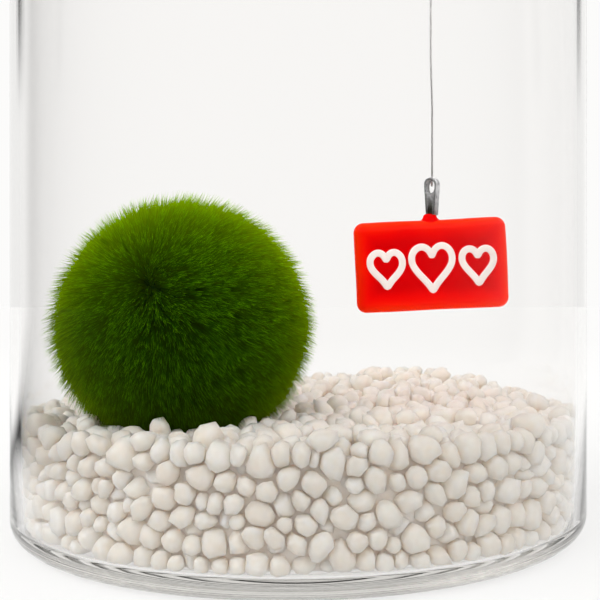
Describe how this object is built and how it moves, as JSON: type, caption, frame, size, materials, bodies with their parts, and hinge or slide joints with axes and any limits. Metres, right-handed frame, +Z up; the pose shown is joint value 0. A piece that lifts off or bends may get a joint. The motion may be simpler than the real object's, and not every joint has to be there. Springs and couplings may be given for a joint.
{
  "type": "marimo moss ball in a glass vessel",
  "caption": "Fuzzy green moss ball resting on a bed of white pebbles in a straight clear glass vessel, beside a red glass charm that hangs from the rim on a thin wire.",
  "frame": {"origin": "centre of the vessel's foot, on the surface that it stands on", "axes": "+Z up along the vessel; seen from the front, +X is to the right and +Y is away, with the moss ball at the front left"},
  "size_m": [0.12, 0.12, 0.1507],
  "materials": {
    "vessel_glass": "polished clear",
    "white_pebble": "smooth, rounded, faintly translucent",
    "green_moss": "fuzzy filaments, light tips and dark roots",
    "red_glass": "fused opaque glass with a fire-polished edge",
    "charm_metal": "worn grey metal",
    "steel_wire": "satin wire"
  },
  "bodies": {
    "root": {"glass_vessel": "vessel_glass", "pebble_bed": "white_pebble", "moss_ball": "green_moss", "charm_slab": "red_glass", "charm_loop": "charm_metal", "hanger_wire": "steel_wire"}
  },
  "joints": []
}
